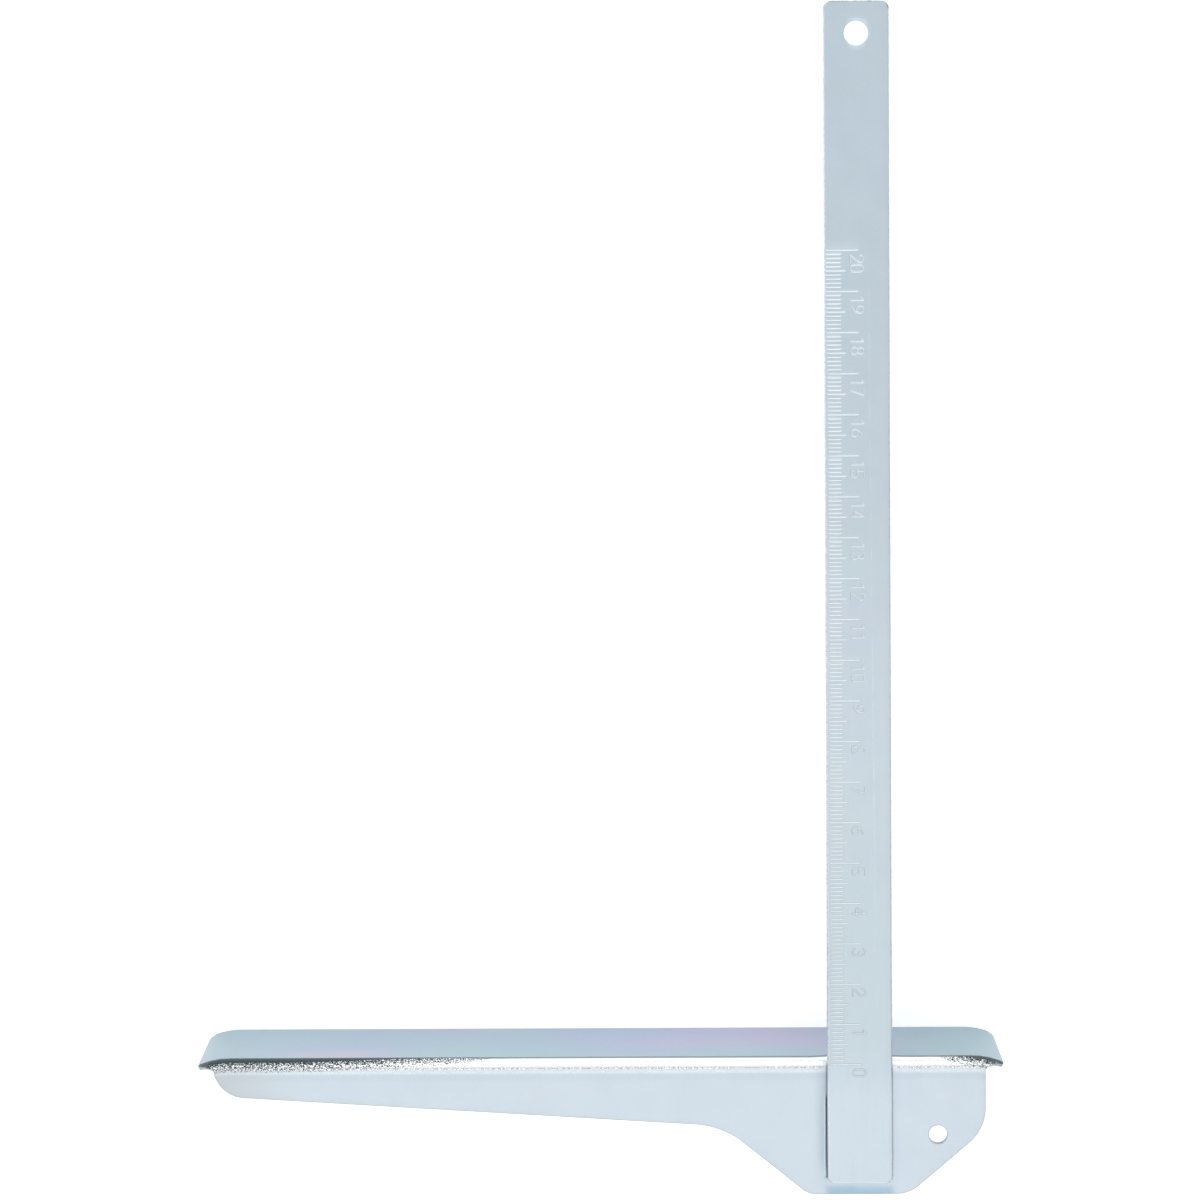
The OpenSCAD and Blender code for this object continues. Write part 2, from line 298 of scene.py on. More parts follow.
def stamping(x, y):
    """Depth of the stamped scale under the face, and how much is mark, at points of the face."""
    depth, mark = np.zeros_like(x), np.zeros_like(x)
    nearest = np.clip(np.round(y + ZERO_BACK), 0, SCALE_MM).astype(int)
    away = np.abs(y + ZERO_BACK - nearest)
    lengths = np.array([mark_length(i) for i in range(SCALE_MM + 1)])[nearest]
    start = MARK_START - DRIFT * ease(150, 200, y)
    along = ease(-0.2, 0.35, x - start) * (1 - ease(-0.02, 0.2, x - MARK_START - lengths))
    groove = (1 - ease(0.04, MARK_HALF - 0.01, away)) * along
    lip = np.exp(-(((away - MARK_HALF - 0.05) / 0.05) ** 2)) * along
    depth += MARK_DEPTH * groove - MARK_LIP * lip
    mark = np.maximum(mark, groove)
    for cm in range(SCALE_MM // 10 + 1):
        start = number_start(cm)
        near = (y < start + 0.4) & (y > start - number_span(cm) - 0.4) & (np.abs(x) < 2.6)
        if not near.any():
            continue
        u, v = start - y[near], x[near] - NUMERAL_FOOT
        nearest_stroke = np.full(u.shape, 9.0)
        for place, digit in enumerate(str(cm)):
            for stroke in numeral_strokes(int(digit)):
                nearest_stroke = np.minimum(
                    nearest_stroke, stroke_distance(u - place * NUMERAL_PITCH, v, stroke)
                )
        groove = 1 - ease(0.05, NUMERAL_STROKE / 2 + 0.05, nearest_stroke)
        lip = np.exp(-(((nearest_stroke - NUMERAL_STROKE / 2 - 0.09) / 0.06) ** 2))
        depth[near] += NUMERAL_DEPTH * groove - NUMERAL_LIP * lip
        mark[near] = np.maximum(mark[near], NUMERAL_PAINTED_GLINT * groove)
    return depth, mark


def thinned(values, gap, last):
    """Sorted values with those too close to their neighbour left out, ending at the last one."""
    values = sorted(values)
    kept = values[:1]
    for v in values[1:]:
        if v - kept[-1] > gap:
            kept.append(v)
    kept[-1] = last
    return np.array(kept)


def blade_columns():
    """Positions across the flat of the face: close together where something is stamped."""
    step = 0.11
    columns = list(np.arange(NUMERAL_FOOT - 0.3, NUMERAL_FOOT + NUMERAL_H + 0.35, step))
    for end in (0.0, MARK_LENGTHS[1], MARK_LENGTHS[5]):
        columns += [MARK_START + end + d for d in (-0.12, 0.0, 0.12, 0.24)]
    flat = BLADE_HALF - ROLLED_EDGE_R
    columns += [-flat, -6.0, -5.2, 2.6, 3.6, 5.0, 6.4, flat]
    return thinned(columns, 0.045, flat)


def blade_rows():
    """Positions along the blade: close together at the marks, the numerals and both ends."""
    step = 0.115
    rows, zones = [], []
    for cm in range(SCALE_MM // 10 + 1):
        high = number_start(cm) + 0.45
        low = number_start(cm) - number_span(cm) - 0.25
        zones.append((low, high))
        rows += list(np.arange(low, high, step))
    for i in range(SCALE_MM + 1):
        y = i - ZERO_BACK
        if not any(low + 0.3 < y < high - 0.3 for low, high in zones):
            rows += [y + d for d in (-0.26, -0.17, -0.08, 0.0, 0.08, 0.17, 0.26)]
    for end, r, way in BLADE_ENDS:
        rows += [end + way * d for d in (0.0, 0.05, 0.12)]
        rows += [end + way * r * (1 - math.cos(math.radians(a))) for a in range(25, 91, 9)]
    rows += list(np.arange(SCALE_MM + 1.5, FREE_END - FREE_CORNER_R - 1, 3.0))
    rows += list(np.arange(TAIL_END + TAIL_CORNER_R + 1, -5.8, 1.5))
    return thinned(rows, 0.04, FREE_END)


def make_blade():
    """The bar as one closed skin: rolled section, stamped face, rounded corners, hanging hole."""
    top = blade_columns()
    rows = blade_rows()
    r, t = ROLLED_EDGE_R, BLADE_T
    flat = BLADE_HALF - r
    turn = [math.radians(a) for a in (30, 60, 90)]
    right = [(flat + r * math.sin(a), t - r + r * math.cos(a)) for a in turn]
    right += [(flat + r * math.cos(a), r - r * math.sin(a)) for a in (0, *turn[:2])]
    under = [(x, 0.0) for x in (flat, 3.0, -3.0, -flat)]
    left = [(-x, z) for x, z in reversed(right)]
    section = [(x, t) for x in top] + right + under + left
    section_x = np.array([p[0] for p in section])
    section_z = np.array([p[1] for p in section])
    n, m = len(rows), len(section)
    x = np.tile(section_x, (n, 1))
    y = np.tile(rows[:, None], (1, m))
    z = np.tile(section_z, (n, 1))
    depth, mark = stamping(x[:, : len(top)], y[:, : len(top)])
    z[:, : len(top)] -= depth + NUMERAL_LIP
    # Corners in plan: the outer part of each row is drawn in.
    inner = BLADE_HALF - CORNER_ZONE
    for end, radius, way in BLADE_ENDS:
        d = np.clip((y[:, 0] - end) * way, 0, radius)
        width = BLADE_HALF - radius + np.sqrt(np.maximum(radius**2 - (radius - d) ** 2, 0))
        share = ((width - inner) / (BLADE_HALF - inner))[:, None]
        x = np.where(np.abs(x) > inner, np.sign(x) * (inner + (np.abs(x) - inner) * share), x)
        # Sheared end: a small rollover above and a sharper edge below.
        d = (y[:, 0] - end) * way
        near = 1 - np.clip(d / ROLLOVER_LENGTH, 0, 1)
        draw = ROLLOVER * (1 - np.sqrt(np.clip(1 - near**2, 0, 1)))
        z += np.where(z > t / 2, -1, 0.4) * draw[:, None]
    points = np.stack([x, y, z], 2).reshape(-1, 3)
    index = np.arange(n * m).reshape(n, m)
    a, b = index[:-1], index[1:]
    quads = np.stack([a, np.roll(a, -1, 1), np.roll(b, -1, 1), b], 2).reshape(-1, 4)
    # One more face closes each end.
    faces = quads.tolist() + [index[0][::-1].tolist(), index[-1].tolist()]
    piece = mesh_piece("graduated_blade_skin", points, faces)
    full = np.zeros((n, m))
    full[:, : len(top)] = mark
    # Edge mask: rubbed plating, and where the painted edge highlight goes.
    lip = np.clip((np.abs(section_x) - flat) / r, 0, 1)
    lip = np.where(lip > 0.9, 0.2, lip**0.5) * np.where(section_z > t / 2, 1.0, 0.3)
    edge = lip[None, :] * np.ones((n, 1))
    for end, _, way in BLADE_ENDS:
        edge = np.maximum(edge, 1 - np.clip((y[:, :1] - end) * way / 0.25, 0, 1))
    # The stamped mask also sets where and how strongly the painted glint goes.
    set_mask(piece, "stamped", full.ravel())
    set_mask(piece, "edge", edge.ravel())
    centre = (0, FREE_END - HANG_HOLE_INSET)
    cut(piece, turned_cutter("hang_hole_cutter", centre, HANG_HOLE_R, 0.0, t, HANG_HOLE_LIP))
    return piece


# ------------------------------------------------------------------ fence


def channel_drop(x, y):
    """How far the channel lies under the plate: full depth under the blade, soft beside it."""
    open_left = ease(*GAP_TOP, y) * ease(*GAP_BOTTOM, y)
    gap = np.where(x < 0, GAP_LEFT + GAP_OPENS * open_left, GAP_RIGHT)
    beside = np.abs(x) - BLADE_HALF + TAIL_CORNER_R
    behind = TAIL_END + TAIL_CORNER_R - y
    away = np.hypot(np.maximum(beside, 0), np.maximum(behind, 0)) - TAIL_CORNER_R
    away = away + np.minimum(np.maximum(beside, behind), 0)
    foot = SHOULDER_FOOT * np.where(x < 0, FOOT_LEFT, FOOT_RIGHT)
    foot = foot * (1 - FOOT_FADE * ease(*FOOT_FADE_Y, y))
    reach = SHOULDER_HALF - BLADE_HALF - gap + FLARE * ease(*FLARE_Y, y)
    out = np.clip((beside - TAIL_CORNER_R - gap) / reach, 0, 1)
    back = np.clip((behind - TAIL_CORNER_R - 0.1) / RAMP, 0, 1)
    soft = foot * (1 - out) ** SHOULDER_CURVE * (1 - ease(0.0, 1.0, back))
    wall = 1 - ease(0.0, gap, away)
    lip = LIP_H * np.exp(-(((x - LIP_X) / LIP_W) ** 2)) * ease(*LIP_TOP, y) * ease(*LIP_BOTTOM, y)
    return soft + (CHANNEL_DEPTH - soft) * wall - lip


def flat_to_skin(u, w):
    """Where a place on the blank goes when folded: u along the fence, w up the flange and on."""
    a = np.clip((w - FLANGE_RUN) / FOLD_R, 0, math.pi / 2)
    back = FOLD_R * (np.cos(a) - 1)
    height = np.where(w < FLANGE_RUN, FLANGE_LOW + w, FOLD_Z + FOLD_R * np.sin(a))
    left, right = np.maximum(RUN_LEFT - u, 0), np.maximum(u - RUN_RIGHT, 0)
    turn = (left + right) / LEAD_R
    way = np.where(left > 0, -1.0, 1.0)
    x = np.clip(u, RUN_LEFT, RUN_RIGHT) + way * (LEAD_R + back) * np.sin(turn)
    y = -LEAD_R + (LEAD_R + back) * np.cos(turn) - np.maximum(w - PLATE_START, 0)
    drop = channel_drop(x, y)
    fade = np.where(w < FLANGE_RUN, ease(FLANGE_RUN - 9, FLANGE_RUN, w), 1.0)
    return np.stack([x, y, height - drop * fade], -1)


def folded(u, w, depth):
    """The folded sheet at a depth under its outer face."""
    u, w, depth = np.broadcast_arrays(*[np.asarray(v, float) for v in (u, w, depth)])
    h = 0.02
    along = flat_to_skin(u + h, w) - flat_to_skin(u - h, w)
    across = flat_to_skin(u, w + h) - flat_to_skin(u, w - h)
    normal = np.cross(across, along)
    normal /= np.linalg.norm(normal, axis=-1, keepdims=True)
    return flat_to_skin(u, w) - normal * depth[..., None]


def plan_to_flat(x, y):
    """The place on the flat blank of a point of the plate in plan."""
    run = min(max(x, RUN_LEFT), RUN_RIGHT)
    turn = math.asin((x - run) / (LEAD_R - FOLD_R))
    start = -LEAD_R + (LEAD_R - FOLD_R) * math.cos(turn)
    return run + LEAD_R * turn, PLATE_START + start - y


def round_corners(points, closed, step=0.55):
    """Points (x, y, radius) joined by straight lines, each corner rounded by its radius."""
    out = []
    count = len(points)
    for i, (px, py, r) in enumerate(points):
        if r <= 0 or (not closed and i in (0, count - 1)):
            out.append((px, py))
            continue
        p = np.array([px, py])
        a, b = np.array(points[i - 1][:2]), np.array(points[(i + 1) % count][:2])
        u, v = (p - a) / np.linalg.norm(p - a), (b - p) / np.linalg.norm(b - p)
        t = math.acos(max(-1, min(1, float(u @ v))))
        s = math.copysign(1, u[0] * v[1] - u[1] * v[0])
        start = p - u * r * math.tan(t / 2)
        centre = start + s * r * np.array([-u[1], u[0]])
        first = math.atan2(*(start - centre)[::-1])
        n = max(4, math.ceil(r * t / step))
        turns = [first + s * t * k / n for k in range(n + 1)]
        out += [tuple(centre + r * np.array([math.cos(a), math.sin(a)])) for a in turns]
    return out


def spaced(points, step, closed=True):
    """The same line with long stretches divided."""
    out = []
    count = len(points)
    for i in range(count if closed else count - 1):
        a, b = np.array(points[i]), np.array(points[(i + 1) % count])
        n = max(1, math.ceil(np.linalg.norm(b - a) / step))
        out += [tuple(a + (b - a) * k / n) for k in range(n)]
    if not closed:
        out.append(tuple(points[-1]))
    return out


def blank_outline():
    """Outline of the flat blank, anticlockwise: flange edge, right tip, plate, left tip."""
    reach = LEAD_R * LEAD_TURN
    tip_left, tip_right = RUN_LEFT - reach, RUN_RIGHT + reach
    tip_w = FLANGE_RUN + TIP_RISE
    plate = round_corners(PLATE_CORNERS, False)
    plate = [plan_to_flat(*p) for p in spaced(plate, 1.2, False)]
    (right_u, right_w), (left_u, left_w) = plate[0], plate[-1]
    lower = [
        (tip_left, 0, FLANGE_CORNER_R),
        (tip_right, 0, FLANGE_CORNER_R),
        (tip_right, tip_w, TIP_CORNER_R),
        (right_u + 0.02, PLATE_START - 0.3, RELIEF_R),
        (right_u, right_w, 0),
        (left_u, left_w, 0),
        (left_u - 0.02, PLATE_START - 0.3, RELIEF_R),
        (tip_left, tip_w, TIP_CORNER_R),
    ]
    ring = round_corners(lower, True, 0.4)
    split = min(range(len(ring)), key=lambda i: math.dist(ring[i], plate[0]))
    ring = ring[: split + 1] + plate[1:-1] + ring[split + 1 :]
    return spaced(ring, 1.6)


def outward(ring):
    """Unit normals out of an anticlockwise ring."""
    p = np.array(ring)
    d = np.roll(p, -1, 0) - np.roll(p, 1, 0)
    d /= np.linalg.norm(d, axis=1, keepdims=True)
    return np.stack([d[:, 1], -d[:, 0]], 1)


def segment_distance(points, ring):
    """Distance of each point from a closed ring."""
    a, b = np.array(ring), np.roll(np.array(ring), -1, 0)
    best = np.full(len(points), 1e9)
    for p, q in zip(a, b):
        d = q - p
        t = np.clip(((points - p) @ d) / (d @ d), 0, 1)
        best = np.minimum(best, np.linalg.norm(points - p - t[:, None] * d, axis=1))
    return best


def inside_ring(points, ring):
    """Which points lie inside a ring."""
    x, y = points[:, 0], points[:, 1]
    hit = np.zeros(len(points), bool)
    p = np.array(ring)
    q = np.roll(p, -1, 0)
    for (ax, ay), (bx, by) in zip(p, q):
        if ay != by:
            hit ^= ((ay > y) != (by > y)) & (x < (bx - ax) * (y - ay) / (by - ay) + ax)
    return hit


# Section of a sheared edge: how far out and how deep, from the outer face round to the back.
EDGE_SECTION = [
    (-0.20, 0.0), (-0.09, 0.018), (-0.03, 0.075), (0.0, 0.18),
    (0.0, SHEET_T - 0.10), (-0.02, SHEET_T - 0.03), (-0.08, SHEET_T - 0.005), (-0.20, SHEET_T),
]


def blank_points(ring):
    """Places in the blank that carry its shape: close together at the fold and the channel."""
    rows = [1.2, 2.6, 4.6, 7.5, 11, 14.5, 17.5, 20, 21.5, 22.4]
    rows += [FLANGE_RUN + FOLD_R * math.pi / 2 * k / 14 for k in range(15)]
    rows += [PLATE_START + d for d in (0.35, 0.9, 1.6, 2.4)]
    coarse = list(np.arange(-162.8, 35.6, 2.6))
    shoulder = list(np.arange(CHANNEL_HALF + 0.6, SHOULDER_HALF + 1.3, 0.3))
    shoulder += [-s - 0.1 for s in shoulder]
    beside = (0.0, 0.05, 0.1, 0.15, 0.2, 0.25, 0.33, 0.43, 0.53, 0.63, 0.75)
    left = [-BLADE_HALF - d for d in beside]
    right = [BLADE_HALF + d for d in (0.0, 0.04, 0.12, 0.25, 0.42, 0.6)]
    fine = shoulder + left + right + list(np.arange(-7.2, 7.3, 1.2))
    columns = sorted([c for c in coarse if abs(c) > SHOULDER_HALF + 1.9] + fine)
    points = [(u, w) for u in columns for w in rows]
    deep = list(np.arange(PLATE_START + 3.3, PLATE_START - FOLD_R - PLATE_BACK, 1.05))
    foot = PLATE_START - FOLD_R - CHANNEL_END
    ramp = [foot + d for d in (-0.32, -0.25, -0.2, -0.14, 0.0, 0.15, 0.4, 0.7)]
    ramp += [foot + RAMP * k / 8 for k in range(3, 9)]
    deep = sorted([d for d in deep if d < ramp[0] - 0.3] + ramp)
    points += [(u, w) for u in columns for w in deep]
    # Close rows round the two rounded corners of the blade's lower end.
    for side in (-1, 1):
        cu, cw = plan_to_flat(side * (BLADE_HALF - TAIL_CORNER_R), TAIL_END + TAIL_CORNER_R)
        points = [
            (u, w) for u, w in points
            if side * (u - cu) <= 0 or w <= cw
            or abs(math.hypot(u - cu, w - cw) - TAIL_CORNER_R) >= 0.22
        ]
        points += [
            (cu + side * r * math.sin(math.radians(a)), cw + r * math.cos(math.radians(a)))
            for r in [TAIL_CORNER_R + d for d in (-0.05, 0.0, 0.05, 0.13)]
            for a in range(6, 90, 6)
        ]
    for x, y in NUGGETS:
        cu, cw = plan_to_flat(x, y)
        points = [(u, w) for u, w in points if math.hypot(u - cu, w - cw) > DIMPLE_R + 0.55]
        radii = (0.7, 1.15, 1.4, 1.6, 1.85)
        points.append((cu, cw))
        points += [(cu + r * c, cw + r * s) for r in radii for c, s in around(24)]
    points = np.array(points)
    clear = (segment_distance(points, ring) > 0.32) & inside_ring(points, ring)
    centre = np.array(plan_to_flat(*PIN_HOLE))
    clear &= np.linalg.norm(points - centre, axis=1) > PIN_HOLE_R + 0.7
    rim = [
        centre + (PIN_HOLE_R + 0.45) * np.array([math.cos(a), math.sin(a)])
        for a in np.linspace(0, 2 * math.pi, 49)[:-1]
    ]
    return np.concatenate([points[clear], np.array(rim)])


def make_fence():
    """The folded sheet as one closed skin with sheared edges all round."""
    ring = blank_outline()
    centre = plan_to_flat(*PIN_HOLE)
    hole = [
        (centre[0] + PIN_HOLE_R * math.cos(a), centre[1] + PIN_HOLE_R * math.sin(a))
        for a in np.linspace(0, 2 * math.pi, 57)[:-1]
    ]
    ring_out, hole_out = outward(ring), -outward(hole)
    inset = EDGE_SECTION[0][0]
    ring_in = np.array(ring) + ring_out * inset
    hole_in = np.array(hole) + hole_out * inset
    flat = np.concatenate([ring_in, hole_in, blank_points(ring_in)])
    nr, nh = len(ring_in), len(hole_in)
    ring_edges = [(i, (i + 1) % nr) for i in range(nr)]
    hole_edges = [(nr + i, nr + (i + 1) % nh) for i in range(nh)]
    verts, _, tris, origin, _, _ = delaunay_2d_cdt(
        [Vector(p) for p in flat], ring_edges + hole_edges, [], 0, 1e-6
    )
    verts = np.array([tuple(v) for v in verts])
    tris = np.array([list(t) for t in tris])
    middle = verts[tris].mean(1)
    tris = tris[inside_ring(middle, ring_in) & ~inside_ring(middle, hole_in)]
    place = {old: new for new, olds in enumerate(origin) for old in olds}
    turned = np.cross(verts[tris[:, 1]] - verts[tris[:, 0]], verts[tris[:, 2]] - verts[tris[:, 0]])
    tris[turned < 0] = tris[turned < 0][:, ::-1]
    count = len(verts)
    points = [folded(verts[:, 0], verts[:, 1], 0.0), folded(verts[:, 0], verts[:, 1], SHEET_T)]
    faces = tris.tolist() + (tris[:, ::-1] + count).tolist()
    total = 2 * count
    edge = [np.zeros(2 * count)]
    fold_arc = PLATE_START - FLANGE_RUN
    along_fold = [(verts[:, 1] - FLANGE_RUN) / fold_arc] * 2
    outer = [np.ones(count), np.zeros(count)]
    for loop, normals, first, length in ((ring, ring_out, 0, nr), (hole, hole_out, nr, nh)):
        loop = np.array(loop)
        previous = [place[first + i] for i in range(length)]
        edge[0][previous] = 0.35
        for out, depth in EDGE_SECTION[1:-1]:
            p = loop + normals * out
            points.append(folded(p[:, 0], p[:, 1], depth))
            edge.append(np.ones(length))
            along_fold.append((loop[:, 1] - FLANGE_RUN) / fold_arc)
            outer.append(np.full(length, 1.0 if depth < 0.1 else 0.3))
            current = list(range(total, total + length))
            total += length
            faces += strip(previous, current)
            previous = current
        last = [count + place[first + i] for i in range(length)]
        edge[0][last] = 0.35
        faces += strip(previous, last)
    points = np.concatenate(points)
    # Electrode marks on the back, one behind each nugget.
    back = points[count : 2 * count]
    for x, y in NUGGETS:
        reach = np.hypot(back[:, 0] - x, back[:, 1] - y)
        back[:, 2] += DIMPLE_DEPTH * (1 - ease(DIMPLE_R - 0.45, DIMPLE_R + 0.1, reach))
    piece = mesh_piece("fence_sheet", points, faces)
    set_mask(piece, "edge", np.concatenate(edge))
    set_mask(piece, "fold", np.clip(np.concatenate(along_fold), -3, 4))
    set_mask(piece, "outer", np.concatenate(outer))
    # Painted shade in the recess: darker towards the plate's edge below the blade's end, and
    # faintly beside the channel.
    x, y = np.abs(points[:, 0]), points[:, 1]
    ramp = ease(CHANNEL_END + 0.3, PLATE_BACK + 0.2, y)
    across = 1 - ease(BLADE_HALF - 0.9, BLADE_HALF + 1.4, x)
    beside = np.exp(-(((x - CHANNEL_HALF) / 1.5) ** 2)) * ease(-33.0, -30.0, y)
    pressed = np.clip(ramp * across + 0.15 * beside, 0, 1) * (y < -FOLD_R * 0.6)
    set_mask(piece, "pressed", pressed)
    tidy_normals(piece)
    return piece


def strip(a, b):
    """Quads between two rings of points."""
    n = len(a)
    return [[a[i], a[(i + 1) % n], b[(i + 1) % n], b[i]][::-1] for i in range(n)]


def tidy_normals(piece):
    """Turns every face of a closed piece outwards."""
    mesh = bmesh.new()
    mesh.from_mesh(piece.data)
    bmesh.ops.recalc_face_normals(mesh, faces=mesh.faces)
    mesh.to_mesh(piece.data)
    mesh.free()
    piece.data.update()


# ------------------------------------------------------------------ finishes


def new_group(name, inputs, outputs):
    """An empty node group with named sockets: (name, type, default) in, (name, type) out."""
    group = bpy.data.node_groups.new(name, "ShaderNodeTree")
    for label, kind, value in inputs:
        socket = group.interface.new_socket(label, in_out="INPUT", socket_type=kind)
        if value is not None:
            socket.default_value = value
    for label, kind in outputs:
        group.interface.new_socket(label, in_out="OUTPUT", socket_type=kind)
    start, end = group.nodes.new("NodeGroupInput"), group.nodes.new("NodeGroupOutput")
    return group, start, end


FLOAT, COLOR, VECTOR = "NodeSocketFloat", "NodeSocketColor", "NodeSocketVector"


class Wiring:
    """Short words for laying nodes in a tree."""

    def __init__(self, tree):
        self.tree = tree

    def node(self, kind, links=None, **settings):
        """A new node, with its settings and what goes into its sockets."""
        made = self.tree.nodes.new(kind)
        for key, value in settings.items():
            setattr(made, key, value)
        for socket, value in (links or {}).items():
            self.feed(made.inputs[socket], value)
        return made

    def feed(self, socket, value):
        """Links another node's output to a socket, or sets the socket's own value."""
        if isinstance(value, bpy.types.NodeSocket):
            self.tree.links.new(value, socket)
        else:
            socket.default_value = value

    def math(self, operation, a, b=0.0, clamp=False):
        made = self.node("ShaderNodeMath", {0: a, 1: b}, operation=operation, use_clamp=clamp)
        return made.outputs[0]

    def times(self, *values):
        """The product of several values."""
        product = values[0]
        for value in values[1:]:
            product = self.math("MULTIPLY", product, value)
        return product

    def remap(self, value, low, high, to_low=0.0, to_high=1.0, smooth=True):
        """A value carried from one range to another and held at its ends."""
        made = self.node(
            "ShaderNodeMapRange",
            {
                "Value": value, "From Min": low, "From Max": high,
                "To Min": to_low, "To Max": to_high,
            },
            interpolation_type="SMOOTHSTEP" if smooth else "LINEAR",
        )
        return made.outputs["Result"]

    def mix(self, share, a, b):
        """One colour over another."""
        made = self.node("ShaderNodeMix", data_type="RGBA")
        self.feed(made.inputs[0], share)
        self.feed(made.inputs[6], a)
        self.feed(made.inputs[7], b)
        return made.outputs[2]

    def noise(self, vector, scale, detail=3.0, roughness=0.55):
        made = self.node(
            "ShaderNodeTexNoise",
            {"Vector": vector, "Scale": scale, "Detail": detail, "Roughness": roughness},
            noise_dimensions="3D",
        )
        return made.outputs[0]

    def vector(self, operation, a, b):
        return self.node("ShaderNodeVectorMath", {0: a, 1: b}, operation=operation).outputs[0]


def rolling_grain_group():
    """Fine lines left by rolling, long one way: a height and a tone."""
    group, start, end = new_group(
        "Rolling grain",
        [("Vector", VECTOR, None), ("Stretch", VECTOR, (1, 1, 1)), ("Scale", FLOAT, 900.0)],
        [("Height", FLOAT), ("Tone", FLOAT)],
    )
    w = Wiring(group)
    place = w.vector("MULTIPLY", start.outputs["Vector"], start.outputs["Stretch"])
    fine = w.noise(place, start.outputs["Scale"], 4.0, 0.6)
    broad = w.noise(place, w.times(start.outputs["Scale"], 0.22), 2.0, 0.5)
    w.feed(end.inputs["Height"], w.math("ADD", w.times(fine, 0.7), w.times(broad, 0.3)))
    w.feed(end.inputs["Tone"], w.remap(broad, 0.3, 0.7))
    return group


def passivation_group():
    """Thin-film colour of blue zinc passivation: lilac, green and straw clouds over a base."""
    group, start, end = new_group(
        "Passivation colour",
        [
            ("Vector", VECTOR, None),
            ("Base", COLOR, (0.7, 0.76, 0.82, 1)),
            ("Lilac", COLOR, (0.74, 0.70, 0.82, 1)),
            ("Green", COLOR, (0.62, 0.76, 0.76, 1)),
            ("Straw", COLOR, (0.82, 0.79, 0.72, 1)),
            ("Cloud scale", FLOAT, 18.0),
            ("Amount", FLOAT, 0.5),
        ],
        [("Color", COLOR)],
    )
    w = Wiring(group)
    place = w.vector("MULTIPLY", start.outputs["Vector"], (1.0, 2.2, 3.0))
    green_place = w.vector("ADD", place, (4.3, 1.7, 8.1))
    straw_place = w.vector("ADD", place, (9.1, 6.2, 2.4))
    scale = start.outputs["Cloud scale"]
    amount = start.outputs["Amount"]
    lilac = w.times(w.remap(w.noise(place, scale, 2.0, 0.45), 0.48, 0.68), amount)
    green = w.times(w.remap(w.noise(green_place, scale, 2.0, 0.45), 0.46, 0.7), amount)
    straw = w.times(w.remap(w.noise(straw_place, scale, 1.0, 0.4), 0.55, 0.75), amount, 0.6)
    colour = w.mix(lilac, start.outputs["Base"], start.outputs["Lilac"])
    colour = w.mix(green, colour, start.outputs["Green"])
    colour = w.mix(straw, colour, start.outputs["Straw"])
    w.feed(end.inputs["Color"], colour)
    return group


def edge_wear_group():
    """Where plating is rubbed, and where an edge gets a painted highlight or a painted dark
    reflection: the edge mask broken up by fine noise.
    """
    group, start, end = new_group(
        "Edge wear",
        [
            ("Vector", VECTOR, None),
            ("Edge", FLOAT, 0.0),
            ("Scale", FLOAT, 700.0),
            ("Amount", FLOAT, 0.6),
        ],
        [("Mask", FLOAT)],
    )
    w = Wiring(group)
    fine = w.noise(start.outputs["Vector"], start.outputs["Scale"], 3.0)
    broken = w.remap(fine, 0.36, 0.62, 0.25, 1.0)
    mask = w.times(start.outputs["Edge"], broken)
    w.feed(end.inputs["Mask"], w.math("MULTIPLY", mask, start.outputs["Amount"], True))
    return group


def spangle_group():
    """Zinc crystals and small blemishes: a height for relief and a tone for patches."""
    group, start, end = new_group(
        "Zinc spangle",
        [("Vector", VECTOR, None), ("Scale", FLOAT, 1600.0), ("Blemish scale", FLOAT, 90.0)],
        [("Height", FLOAT), ("Tone", FLOAT)],
    )
    w = Wiring(group)
    place = start.outputs["Vector"]
    cells = w.node(
        "ShaderNodeTexVoronoi", {"Vector": place, "Scale": start.outputs["Scale"]}, feature="F1"
    )
    patches = w.noise(place, start.outputs["Blemish scale"], 5.0, 0.62)
    w.feed(end.inputs["Height"], cells.outputs["Distance"])
    w.feed(end.inputs["Tone"], w.remap(patches, 0.35, 0.7))
    return group


def grouped(w, group, links):
    """A shared effect laid into a material."""
    made = w.node("ShaderNodeGroup", node_tree=group)
    for socket, value in links.items():
        w.feed(made.inputs[socket], value)
    return made


def new_material(name):
    """A material with its shader, and the place on the piece that its patterns go by."""
    material = bpy.data.materials.new(name)
    material.use_nodes = True
    material.node_tree.nodes.clear()
    w = Wiring(material.node_tree)
    out = w.node("ShaderNodeOutputMaterial")
    shader = w.node("ShaderNodeBsdfPrincipled")
    w.tree.links.new(shader.outputs[0], out.inputs["Surface"])
    coordinates = w.node("ShaderNodeTexCoord").outputs["Object"]
    return material, w, shader, coordinates


def mask_of(w, name):
    """A mask kept at the points of the mesh."""
    made = w.node("ShaderNodeAttribute", attribute_name=name, attribute_type="GEOMETRY")
    return made.outputs["Fac"]


def bumped(w, shader, layers):
    """Chains bump layers (height, strength, distance) into the shader's normal."""
    normal = None
    for height, strength, distance in layers:
        links = {"Height": height, "Strength": strength, "Distance": distance}
        made = w.node("ShaderNodeBump", links)
        if normal is not None:
            w.feed(made.inputs["Normal"], normal)
        normal = made.outputs["Normal"]
    w.feed(shader.inputs["Normal"], normal)


